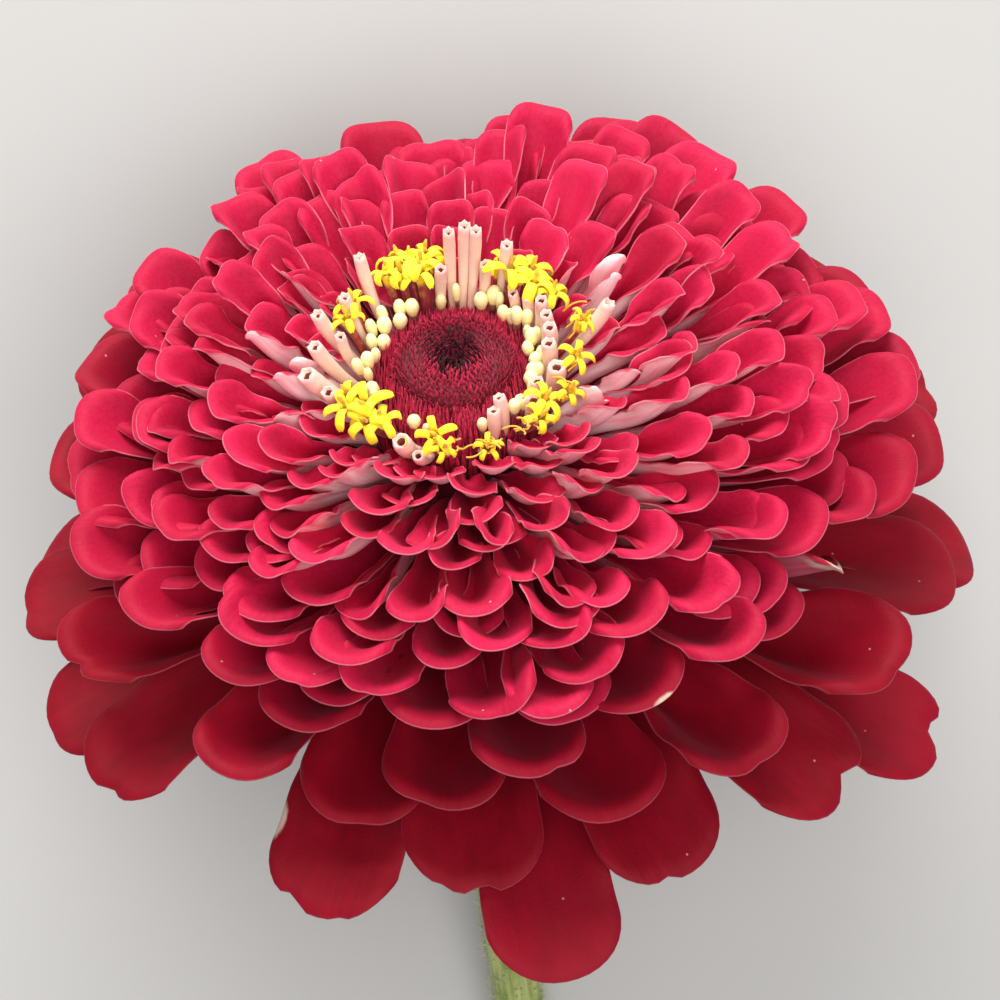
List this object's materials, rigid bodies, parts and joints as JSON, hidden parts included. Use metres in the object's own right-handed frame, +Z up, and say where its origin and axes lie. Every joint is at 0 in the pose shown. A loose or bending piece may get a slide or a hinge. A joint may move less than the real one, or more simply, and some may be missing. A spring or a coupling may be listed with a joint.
{
  "type": "zinnia flower",
  "caption": "Cut double zinnia lying on its side: a domed crimson head of overlapping petals round a dark disc with yellow florets, on a short green stem.",
  "frame": {"origin": "middle of the underside of the flower's bounding box, on the surface that it lies on", "axes": "+Z up from the surface, +Y from the flower's face along the stem to its cut end, +X to the right of a viewer who looks along +Y at its face"},
  "size_m": [0.113, 0.1348, 0.089],
  "materials": {
    "ray_florets": "velvety",
    "chaff": "matte",
    "disc_florets": "matte",
    "bracts": "matte",
    "receptacle": "matte",
    "stem": "satin"
  },
  "bodies": {
    "root": {"stem": "stem", "receptacle": "receptacle", "disc_cone": "chaff", "disc_floret_ring": "disc_florets", "bract_inner_1": "bracts", "bract_inner_2": "bracts", "bract_inner_3": "bracts", "bract_inner_4": "bracts", "bract_inner_5": "bracts", "bract_inner_6": "bracts", "bract_inner_7": "bracts", "bract_inner_8": "bracts", "bract_outer_1": "bracts", "bract_outer_2": "bracts", "bract_outer_3": "bracts", "bract_outer_4": "bracts", "bract_outer_5": "bracts", "bract_outer_6": "bracts", "bract_outer_7": "bracts", "bract_outer_8": "bracts", "ray_01": "ray_florets", "ray_02": "ray_florets", "ray_03": "ray_florets", "ray_04": "ray_florets", "ray_05": "ray_florets", "ray_06": "ray_florets", "ray_07": "ray_florets", "ray_08": "ray_florets", "ray_09": "ray_florets", "ray_10": "ray_florets", "ray_11": "ray_florets", "ray_12": "ray_florets", "ray_13": "ray_florets", "ray_14": "ray_florets", "ray_15": "ray_florets", "ray_16": "ray_florets", "ray_17": "ray_florets", "ray_18": "ray_florets", "ray_19": "ray_florets", "ray_20": "ray_florets", "ray_21": "ray_florets", "ray_22": "ray_florets", "ray_23": "ray_florets", "ray_24": "ray_florets", "ray_25": "ray_florets", "ray_26": "ray_florets", "ray_27": "ray_florets", "ray_28": "ray_florets", "ray_29": "ray_florets", "ray_30": "ray_florets", "ray_31": "ray_florets", "ray_32": "ray_florets", "ray_33": "ray_florets", "ray_34": "ray_florets", "ray_whorl_1": "ray_florets", "ray_whorl_2": "ray_florets", "ray_whorl_3": "ray_florets", "ray_whorl_4": "ray_florets", "ray_whorl_5": "ray_florets", "ray_whorl_6": "ray_florets"}
  },
  "joints": []
}
